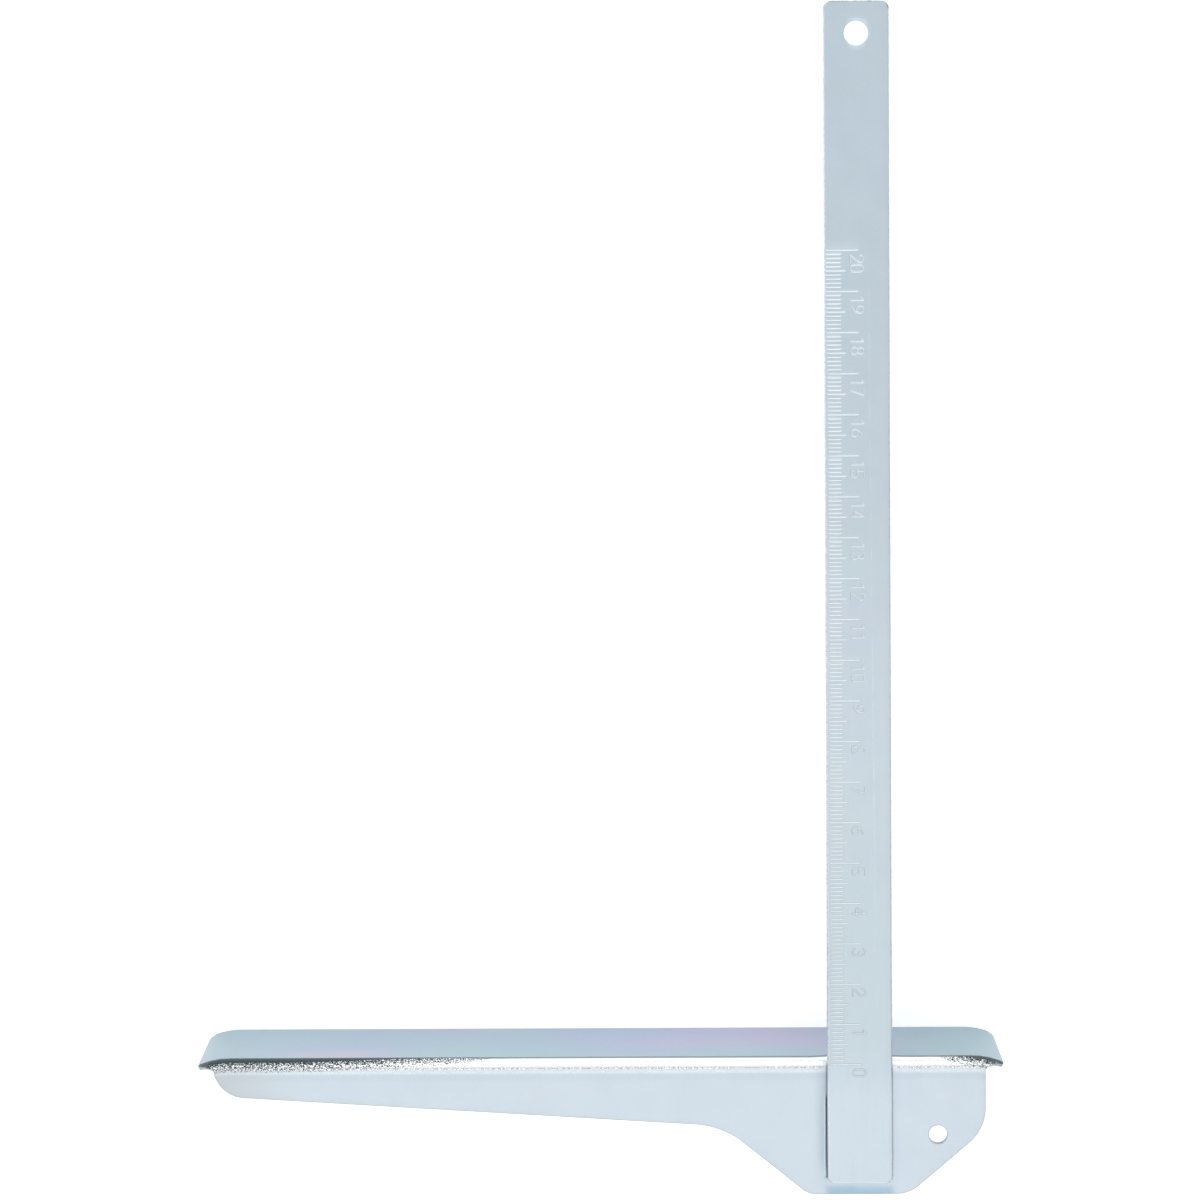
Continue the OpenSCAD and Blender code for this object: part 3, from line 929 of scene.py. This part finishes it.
BLADE_FILM = {
    "Base": (0.535, 0.617, 0.675, 1), "Lilac": (0.55, 0.60, 0.685, 1),
    "Green": (0.52, 0.62, 0.66, 1), "Straw": (0.59, 0.62, 0.64, 1),
    "Cloud scale": 26.0, "Amount": 0.45,
}
# Flange film: blue passivation, with painted shade that keeps the flange darker than the plate.
FLANGE_FILM_AND_SHADE = {
    "Base": (0.37, 0.435, 0.555, 1), "Lilac": (0.43, 0.425, 0.56, 1),
    "Green": (0.34, 0.47, 0.52, 1), "Straw": (0.48, 0.48, 0.48, 1),
    "Cloud scale": 19.0, "Amount": 0.95,
}
PLATE_FILM = {
    "Base": (0.51, 0.58, 0.635, 1), "Lilac": (0.53, 0.57, 0.64, 1),
    "Green": (0.50, 0.585, 0.625, 1), "Straw": (0.54, 0.58, 0.615, 1),
    "Cloud scale": 60.0, "Amount": 0.25,
}

# Blade colours
# The first three are painted light and shade along the blade.
FREE_END_PAINTED_LIGHT = (0.565, 0.675, 0.75, 1)
LOW_SCALE_PAINTED_SHADE = (0.49, 0.572, 0.62, 1)
TAIL_PAINTED_LIGHT = (0.55, 0.63, 0.695, 1)
ROLLED_LIGHT = (0.62, 0.68, 0.72, 1)
BLEMISH = (0.42, 0.49, 0.55, 1)
DIE_LINE = (0.72, 0.78, 0.81, 1)
MARK_PAINTED_GLINT = (0.95, 0.97, 0.98, 1)
EDGE_WEAR_AND_HIGHLIGHT = (0.90, 0.92, 0.93, 1)
TAIL_EDGE_PAINTED_HIGHLIGHT = (0.97, 0.98, 0.99, 1)
SHEARED_DARK = (0.06, 0.08, 0.08, 1)

# Fence colours
ENDS_PAINTED_REFLECTION = (0.305, 0.43, 0.475, 1)
WARM_ARM = (0.43, 0.46, 0.47, 1)
RECESS_PAINTED_SHADE = (0.27, 0.42, 0.55, 1)
SHEET_BLEMISH = (0.42, 0.50, 0.56, 1)
BEND_RIM_PAINTED_LIGHT = (0.80, 0.84, 0.86, 1)
BEND_PAINTED_DULL_LINE = (0.42, 0.49, 0.55, 1)
FOLD_PAINTED_HIGHLIGHT = (0.94, 0.96, 0.97, 1)
BEND_PAINTED_GREY_SPECKS = (0.30, 0.34, 0.36, 1)
FOLD_PAINTED_DARK_REFLECTION = (0.02, 0.045, 0.05, 1)
SHEARED_EDGE_AND_DARK_REFLECTION = (0.45, 0.48, 0.50, 1)


def blade_finish(groups):
    """Bright zinc over a rolled bar, painted lighter and darker along its length, with a painted
    glint on the stamped marks and painted highlights on the edges.
    """
    material, w, shader, place = new_material("Blade zinc")
    axes = w.node("ShaderNodeSeparateXYZ", {0: place}).outputs
    x, y = axes["X"], axes["Y"]
    edge = mask_of(w, "edge")
    grain = grouped(
        w, groups["grain"], {"Vector": place, "Stretch": (1.0, 0.035, 1.0), "Scale": 2600.0}
    ).outputs
    spangle = grouped(
        w, groups["spangle"], {"Vector": place, "Scale": 1500.0, "Blemish scale": 120.0}
    ).outputs
    tint = grouped(w, groups["passivation"], {"Vector": place, **BLADE_FILM}).outputs[0]
    # Painted light and shade along the blade: lighter towards the free end, darker over the low
    # part of the scale, lighter again at the tail.
    tint = w.mix(w.remap(y, 0.12, 0.24, 0.0, 0.85), tint, FREE_END_PAINTED_LIGHT)
    tint = w.mix(w.remap(y, 0.10, 0.02, 0.0, 0.8), tint, LOW_SCALE_PAINTED_SHADE)
    tint = w.mix(w.remap(y, 0.004, -0.012, 0.0, 0.9), tint, TAIL_PAINTED_LIGHT)
    tint = w.mix(w.times(grain["Tone"], 0.06), tint, ROLLED_LIGHT)
    tint = w.mix(w.times(spangle["Tone"], 0.12), tint, BLEMISH)

    # A faint, broken line left by the stamping die beside the numerals.
    line_x = w.remap(y, 0.0, 0.2, 0.0041, 0.0027, False)
    line = w.remap(w.math("ABSOLUTE", w.math("SUBTRACT", x, line_x)), 0.00022, 0.00006)
    extent = w.times(w.remap(y, 0.20, 0.19), w.remap(y, 0.01, 0.06))
    broken = w.remap(w.noise(place, 260.0, 3.0), 0.45, 0.65, 0.05, 0.35)
    tint = w.mix(w.times(line, extent, broken), tint, DIE_LINE)
    # Painted glint on the stamped marks, stronger towards the free end.
    stamped = w.times(mask_of(w, "stamped"), w.remap(y, -0.03, 0.2, 0.65, 0.95, False))
    tint = w.mix(stamped, tint, MARK_PAINTED_GLINT)

    # Rubbed edges, partly a painted highlight: brighter still round the welded end, where a painted
    # highlight covers the shade beside the channel; dark and broken at the sheared free end.
    wear = grouped(
        w, groups["wear"], {"Vector": place, "Edge": edge, "Scale": 1500.0, "Amount": 0.75}
    ).outputs[0]
    tint = w.mix(wear, tint, EDGE_WEAR_AND_HIGHLIGHT)
    tail_edge_highlight = w.times(edge, w.remap(y, -0.003, -0.009))
    tint = w.mix(w.math("MULTIPLY", tail_edge_highlight, 0.8, True), tint, TAIL_EDGE_PAINTED_HIGHLIGHT)
    free_end = w.remap(y, FREE_END * MM - 0.0024, FREE_END * MM - 0.0014)
    sheared = w.times(edge, free_end, w.remap(w.noise(place, 700.0, 3.0), 0.44, 0.56, 0.1, 0.9))
    tint = w.mix(sheared, tint, SHEARED_DARK)

    w.feed(shader.inputs["Base Color"], tint)
    shader.inputs["Metallic"].default_value = 0.85
    rough = w.remap(grain["Height"], 0.3, 0.7, 0.40, 0.44)
    w.feed(shader.inputs["Roughness"], w.math("SUBTRACT", rough, w.times(wear, 0.1)))
    bumped(w, shader, [(grain["Height"], 0.015, 0.0002), (spangle["Height"], 0.04, 0.0002)])
    return material


def fence_finish(groups):
    """Blue-passivated zinc over sheet: clouded flange with painted shade, even plate with painted
    shade in the recess, painted highlight and painted dark reflection on the bend.
    """
    material, w, shader, place = new_material("Fence zinc")
    x = w.node("ShaderNodeSeparateXYZ", {0: place}).outputs["X"]
    bend, outer, pressed, edge = [mask_of(w, name) for name in ("fold", "outer", "pressed", "edge")]
    grain = grouped(
        w, groups["grain"], {"Vector": place, "Stretch": (0.04, 1.0, 1.0), "Scale": 1800.0}
    ).outputs
    spangle = grouped(
        w, groups["spangle"], {"Vector": place, "Scale": 1300.0, "Blemish scale": 110.0}
    ).outputs
    speck = w.noise(place, 2600.0, 3.0, 0.8)

    def zone(rise, top, fall, end):
        """A band of the sheet, counted across the bend: 0 at the flange, 1 at the plate."""
        return w.times(w.remap(bend, rise, top), w.remap(bend, end, fall), outer)

    flange = grouped(w, groups["passivation"], {"Vector": place, **FLANGE_FILM_AND_SHADE}).outputs[0]
    # Painted reflection on the curved flange ends.
    ends = w.math("MAXIMUM", w.remap(x, -0.145, -0.163), w.remap(x, -0.004, 0.022))
    flange = w.mix(w.times(ends, 0.75), flange, ENDS_PAINTED_REFLECTION)
    plate = grouped(w, groups["passivation"], {"Vector": place, **PLATE_FILM}).outputs[0]
    plate = w.mix(w.times(w.remap(x, -0.135, -0.157), 0.6), plate, WARM_ARM)
    # Painted shade in the recess under and beside the blade.
    plate = w.mix(w.times(pressed, 0.9), plate, RECESS_PAINTED_SHADE)
    tint = w.mix(w.remap(bend, 0.85, 1.1), flange, plate)
    tint = w.mix(w.times(spangle["Tone"], 0.04), tint, SHEET_BLEMISH)

    # The bend: a painted light rim and a painted duller line on the plate's side, then the painted
    # highlight band.
    rim = w.times(zone(0.95, 1.02, 1.08, 1.3), w.remap(speck, 0.4, 0.6, 0.1, 0.55))
    tint = w.mix(rim, tint, BEND_RIM_PAINTED_LIGHT)
    painted_dull_line = w.times(zone(1.2, 1.35, 1.45, 1.8), w.remap(speck, 0.35, 0.65, 0.15, 0.45))
    tint = w.mix(painted_dull_line, tint, BEND_PAINTED_DULL_LINE)
    # Painted highlight on the bend, with lower roughness there.
    fold_highlight = zone(0.02, 0.14, 0.9, 1.02)
    tint = w.mix(fold_highlight, tint, FOLD_PAINTED_HIGHLIGHT)
    # Painted dotted dark reflection near the plate's side of the highlight.
    torn = w.times(zone(0.80, 0.86, 0.92, 1.0), w.remap(speck, 0.46, 0.54), 0.75)
    tint = w.mix(torn, tint, BEND_PAINTED_GREY_SPECKS)

    # Painted dark reflection on the bend: a thin line all along, widening towards both ends.
    spread = w.math(
        "ADD", w.remap(x, -0.082, -0.146, 0.0, 0.56), w.remap(x, 0.018, 0.032, 0.0, 0.46)
    )
    ragged = w.times(w.remap(speck, 0.40, 0.60, -0.30, 0.34), w.remap(spread, 0.0, 0.12))
    limit = w.math("ADD", w.math("ADD", spread, 0.20), ragged)
    dark = w.remap(w.math("SUBTRACT", bend, limit), 0.04, -0.04)
    dark = w.times(dark, zone(-0.06, 0.02, 1.2, 1.3), w.remap(spread, 0.0, 0.1, 0.72, 0.97))
    tint = w.mix(dark, tint, FOLD_PAINTED_DARK_REFLECTION)
    # Sheared edges: darker plating where cut, and a painted dark reflection on the rolled rims.
    wear = grouped(
        w, groups["wear"], {"Vector": place, "Edge": edge, "Scale": 800.0, "Amount": 0.6}
    ).outputs[0]
    tint = w.mix(wear, tint, SHEARED_EDGE_AND_DARK_REFLECTION)

    w.feed(shader.inputs["Base Color"], tint)
    shader.inputs["Metallic"].default_value = 0.9
    rough = w.remap(spangle["Tone"], 0.0, 1.0, 0.36, 0.38)
    w.feed(shader.inputs["Roughness"], w.math("SUBTRACT", rough, w.times(fold_highlight, 0.16)))
    crumple = w.times(speck, zone(0.0, 0.1, 0.95, 1.1))
    relief = [(grain["Height"], 0.05, 0.0002), (spangle["Height"], 0.04, 0.0002)]
    bumped(w, shader, relief + [(crumple, 0.30, 0.0003)])
    return material


def weld_finish(groups):
    """Plated weld metal, rougher and greyer than the sheet."""
    material, w, shader, place = new_material("Weld metal")
    spangle = grouped(
        w, groups["spangle"], {"Vector": place, "Scale": 2200.0, "Blemish scale": 400.0}
    ).outputs
    wear = grouped(
        w, groups["wear"], {"Vector": place, "Edge": 0.6, "Scale": 1200.0, "Amount": 0.6}
    ).outputs[0]
    tint = w.mix(spangle["Tone"], (0.42, 0.44, 0.47, 1), (0.56, 0.58, 0.60, 1))
    tint = w.mix(wear, tint, (0.36, 0.37, 0.42, 1))
    w.feed(shader.inputs["Base Color"], tint)
    shader.inputs["Metallic"].default_value = 0.85
    w.feed(shader.inputs["Roughness"], w.remap(spangle["Tone"], 0.0, 1.0, 0.4, 0.6))
    bumped(w, shader, [(spangle["Height"], 0.3, 0.0003)])
    return material


# ------------------------------------------------------------------ studio


def floor_finish():
    """Matt white that glows a little, and is clear when the camera looks up through it."""
    material = bpy.data.materials.new("Floor")
    material.use_nodes = True
    w = Wiring(material.node_tree)
    shader = material.node_tree.nodes["Principled BSDF"]
    place = w.node("ShaderNodeTexCoord").outputs["Object"]
    tone = w.mix(w.noise(place, 6.0), (0.93, 0.93, 0.93, 1), (0.95, 0.95, 0.95, 1))
    w.feed(shader.inputs["Base Color"], tone)
    shader.inputs["Roughness"].default_value = 0.9
    shader.inputs["Specular IOR Level"].default_value = 0.1
    shader.inputs["Emission Color"].default_value = (1, 1, 1, 1)
    shader.inputs["Emission Strength"].default_value = 0.45
    clear = w.node("ShaderNodeBsdfTransparent").outputs[0]
    behind = w.times(
        w.node("ShaderNodeNewGeometry").outputs["Backfacing"],
        w.node("ShaderNodeLightPath").outputs["Is Camera Ray"],
    )
    mixed = w.node("ShaderNodeMixShader", {0: behind})
    w.tree.links.new(shader.outputs[0], mixed.inputs[1])
    w.tree.links.new(clear, mixed.inputs[2])
    out = next(n for n in material.node_tree.nodes if n.type == "OUTPUT_MATERIAL")
    w.tree.links.new(mixed.outputs[0], out.inputs["Surface"])
    return material


def make_floor():
    """Plain pale table top, tilted so that the flange edge and the free end both lie on it."""
    n, radii, clearance = 48, (0.3, 0.8, 1.6), 0.00002
    mesh = bmesh.new()
    centre = mesh.verts.new((0, 0, 0))
    rings = [[mesh.verts.new((r * c, r * s, 0)) for c, s in around(n)] for r in radii]
    for i in range(n):
        mesh.faces.new((centre, rings[0][i], rings[0][(i + 1) % n]))
        for a, b in zip(rings, rings[1:]):
            mesh.faces.new((a[i], b[i], b[(i + 1) % n], a[(i + 1) % n]))
    data = bpy.data.meshes.new("floor")
    mesh.to_mesh(data)
    mesh.free()
    floor = linked("floor", data)
    floor.location = (0, 0, FLANGE_LOW * MM - clearance)
    floor.rotation_euler = (math.atan2(BLADE_LOW[2] - FLANGE_LOW, FREE_END), 0, 0)
    data.materials.append(floor_finish())


def make_world():
    """White room, a little dimmer low down, with a dark band ahead that only shows in the zinc."""
    world = bpy.data.worlds.new("studio")
    bpy.context.scene.world = world
    world.use_nodes = True
    w = Wiring(world.node_tree)
    sky = next(n for n in world.node_tree.nodes if n.type == "BACKGROUND")
    place = w.node("ShaderNodeTexCoord").outputs["Generated"]
    way = w.node("ShaderNodeSeparateXYZ", {0: place}).outputs
    room = w.remap(way["Z"], 0.0, 0.75, 0.62, 1.0)
    band = w.times(
        w.remap(way["Z"], 0.14, 0.09), w.remap(way["Z"], -0.08, -0.03), w.remap(way["Y"], 0.5, 0.8)
    )
    level = w.times(room, w.remap(band, 0.0, 1.0, 1.0, 0.06, False))
    lit = w.mix(level, (0, 0, 0, 1), (1.0, 1.0, 1.0, 1))
    seen = w.node("ShaderNodeLightPath").outputs["Is Camera Ray"]
    w.feed(sky.inputs["Color"], w.mix(seen, lit, (1.4, 1.4, 1.4, 1)))
    sky.inputs["Strength"].default_value = 0.72


# Name, place, aim, size and power
SOFTBOXES = [
    ("overhead", (-0.05, -0.40, 1.0), (0, -0.05, 0), (1.3, 0.8), 2.6),
    ("front", (-0.05, 0.95, 0.75), (-0.05, 0.0, 0), (1.8, 0.8), 3.8),
    ("left", (-1.0, 0.15, 0.45), (-0.02, 0.1, 0), (0.9, 0.5), 1.2),
]


def add_softbox(name, at, aim, size, power):
    """A rectangular lamp turned towards a point."""
    data = bpy.data.lights.new(name, "AREA")
    data.shape, data.size, data.size_y = "RECTANGLE", size[0], size[1]
    data.energy = power
    lamp = linked(name, data)
    lamp.location = at
    lamp.rotation_euler = (Vector(aim) - Vector(at)).to_track_quat("-Z", "Y").to_euler()


def make_camera():
    """Camera over the blade, so far to the free end's side that the flange shows under the fold."""
    data = bpy.data.cameras.new("camera")
    camera = linked("camera", data)
    data.sensor_width, data.lens = 36.0, 90.671
    data.shift_x, data.shift_y = 0.0, -0.30
    data.clip_start, data.clip_end = 0.01, 20
    camera.location = (-0.05307, 0.23824, 0.73276)
    camera.rotation_euler = [math.radians(a) for a in (-2.861, 0.686, -0.460)]
    bpy.context.scene.camera = camera


# ------------------------------------------------------------------ assembly


def dress(piece, material):
    """Gives a piece its one material."""
    piece.data.materials.clear()
    piece.data.materials.append(material)


def main():
    make_camera()
    make_world()
    make_floor()
    for softbox in SOFTBOXES:
        add_softbox(*softbox)
    groups = {
        "grain": rolling_grain_group(),
        "passivation": passivation_group(),
        "wear": edge_wear_group(),
        "spangle": spangle_group(),
    }
    blade = make_blade()
    dress(blade, blade_finish(groups))
    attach(blade, "root")
    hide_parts("graduated_blade")
    fence = make_fence()
    dress(fence, fence_finish(groups))
    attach(fence, "root")
    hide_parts("fence_plate")
    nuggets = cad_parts["weld_nuggets"]
    dress(nuggets, weld_finish(groups))
    bpy.context.scene.view_settings.view_transform = "Standard"


main()
